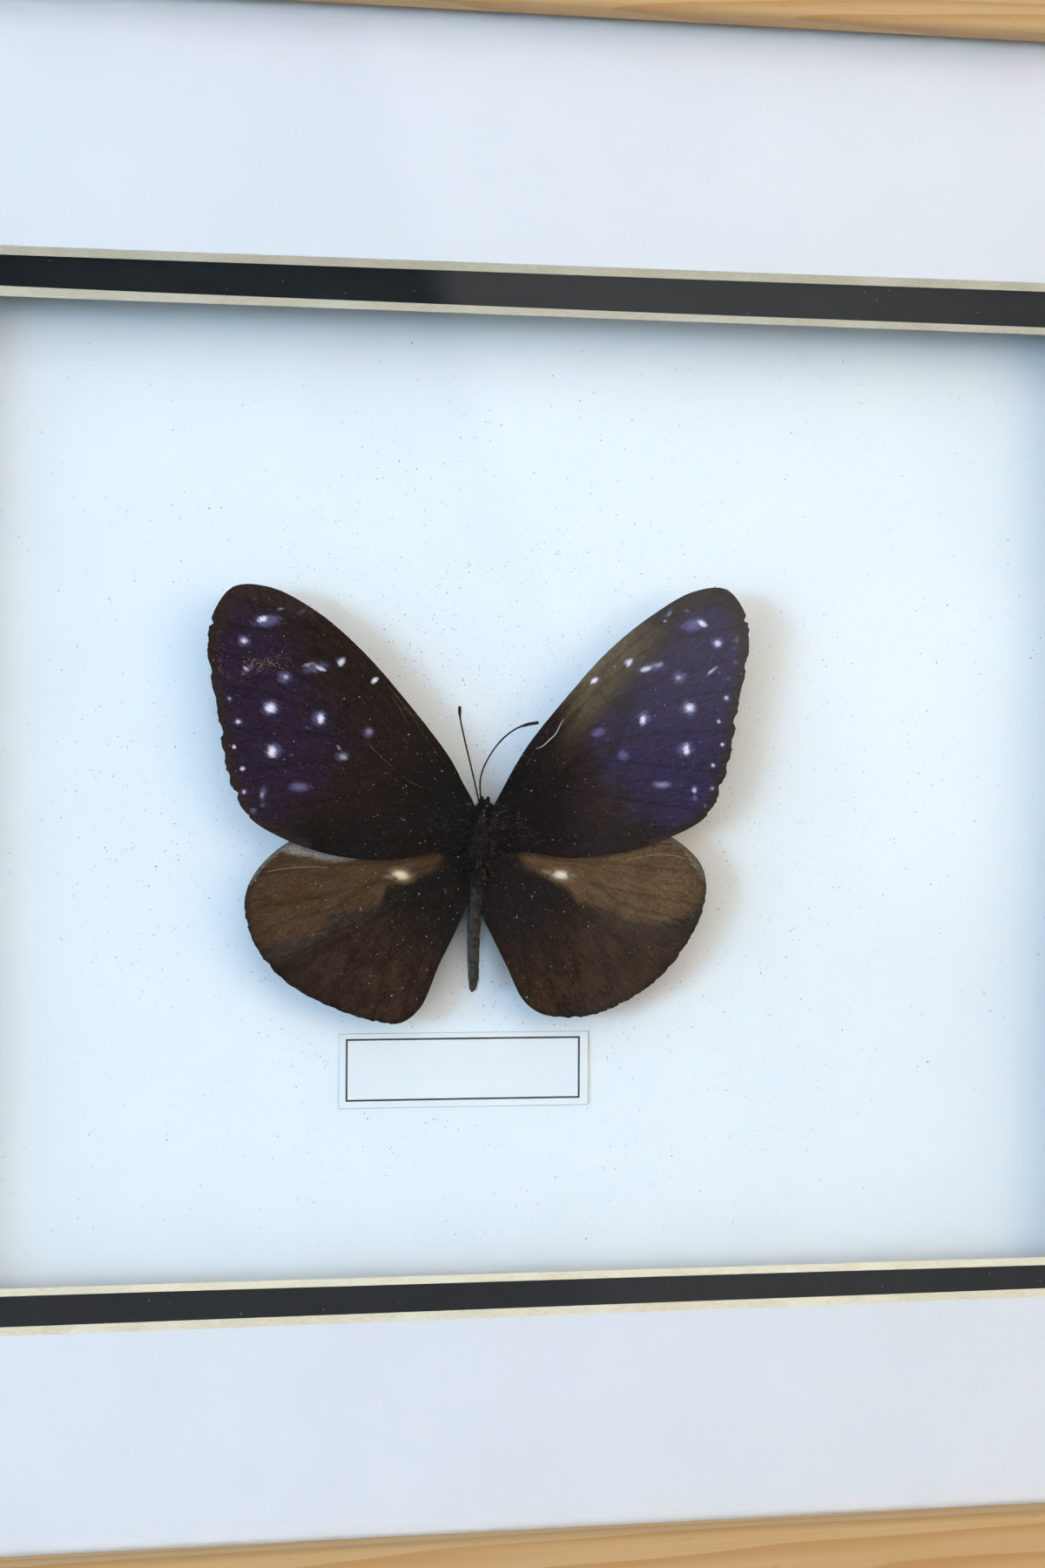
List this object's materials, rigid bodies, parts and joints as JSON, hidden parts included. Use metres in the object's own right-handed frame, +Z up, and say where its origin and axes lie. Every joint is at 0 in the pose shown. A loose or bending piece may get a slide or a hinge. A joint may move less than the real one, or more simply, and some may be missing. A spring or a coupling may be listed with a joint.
{
  "type": "framed butterfly specimen",
  "caption": "Spread butterfly and small paper label in a glazed shadow box frame, behind a white and a black bevelled mat.",
  "frame": {"origin": "on the surface the frame stands on, under the middle of the bottom rail", "axes": "+X to the right seen from the front, +Y from the glass towards the wall, +Z up"},
  "size_m": [0.278, 0.03, 0.24],
  "materials": {
    "pine": "natural pine, satin varnish",
    "glass": "clear polished picture glass",
    "white_mat": "white mat board, cream bevel",
    "black_mat": "black mat board, cream bevel",
    "foam_board": "matt white board",
    "hardboard": "brown hardboard, matt",
    "steel": "zinc plated",
    "forewing": "dark velvety scales, violet sheen",
    "hindwing": "brown velvety scales",
    "insect_body": "black, finely haired",
    "paper": "white printed paper"
  },
  "bodies": {
    "root": {"rail_top": "pine", "rail_bottom": "pine", "rail_left": "pine", "rail_right": "pine", "glass": "glass", "white_mat": "white_mat", "black_mat": "black_mat", "spacer_top": "foam_board", "spacer_bottom": "foam_board", "spacer_left": "foam_board", "spacer_right": "foam_board", "mount_board": "foam_board", "mounting_pad": "foam_board", "back_panel": "hardboard", "tab_1": "steel", "tab_2": "steel", "tab_3": "steel", "tab_4": "steel", "tab_5": "steel", "tab_6": "steel", "tab_7": "steel", "tab_8": "steel", "hanger": "steel", "hanger_rivet_left": "steel", "hanger_rivet_right": "steel", "left_forewing": "forewing", "right_forewing": "forewing", "left_hindwing": "hindwing", "right_hindwing": "hindwing", "body": "insect_body", "left_antenna": "insect_body", "right_antenna": "insect_body", "label": "paper"}
  },
  "joints": []
}
